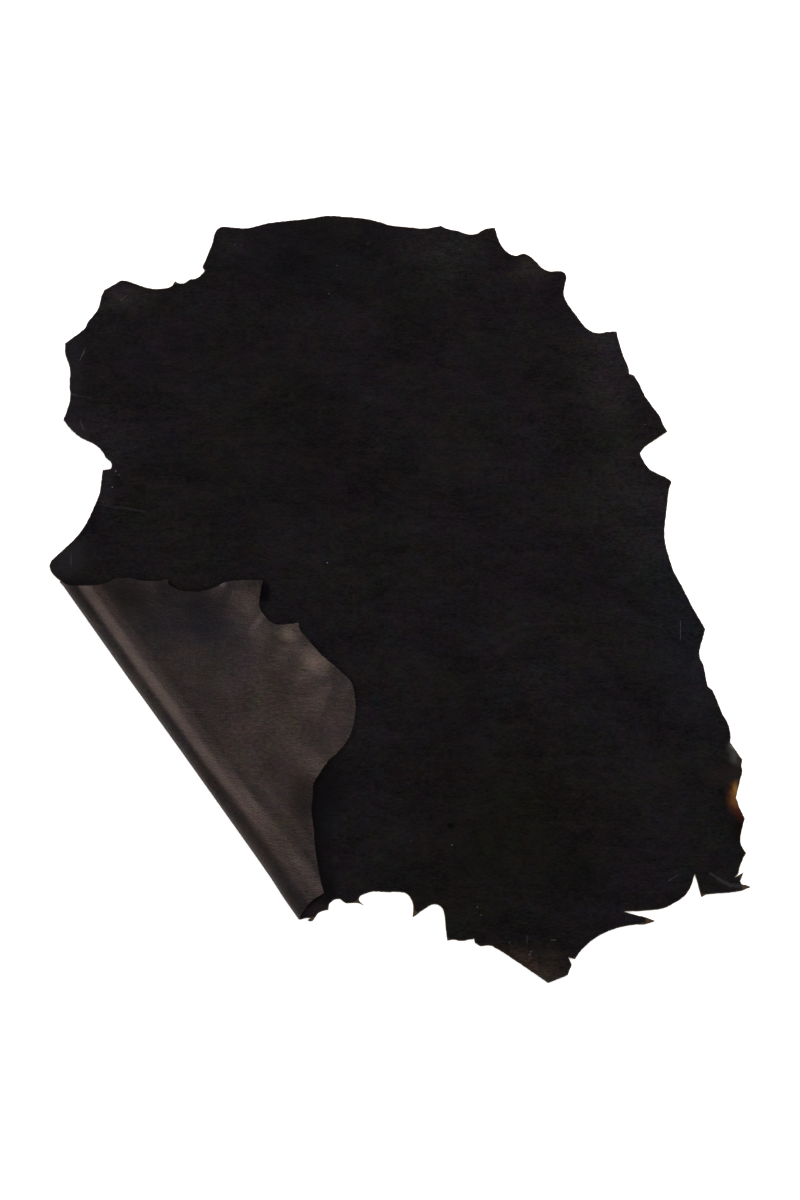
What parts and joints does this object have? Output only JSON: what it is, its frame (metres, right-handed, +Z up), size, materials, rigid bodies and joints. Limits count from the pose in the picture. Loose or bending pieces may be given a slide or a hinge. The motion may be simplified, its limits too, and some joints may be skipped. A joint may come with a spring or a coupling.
{
  "type": "leather hide",
  "caption": "Whole leather skin with an irregular cut edge, laid flat flesh side up, one side turned over on itself in a soft roll.",
  "frame": {"origin": "middle of the hide's outline at the level of the surface it lies on", "axes": "+Z up from the surface, +Y along the hide's length towards its rounded end, +X to its right seen from above"},
  "size_m": [0.7996, 0.9141, 0.0089],
  "materials": {
    "hide": "matt near-black suede on the flesh side, smooth dark brown-grey on the grain side"
  },
  "bodies": {
    "root": {"hide": "hide"}
  },
  "joints": []
}
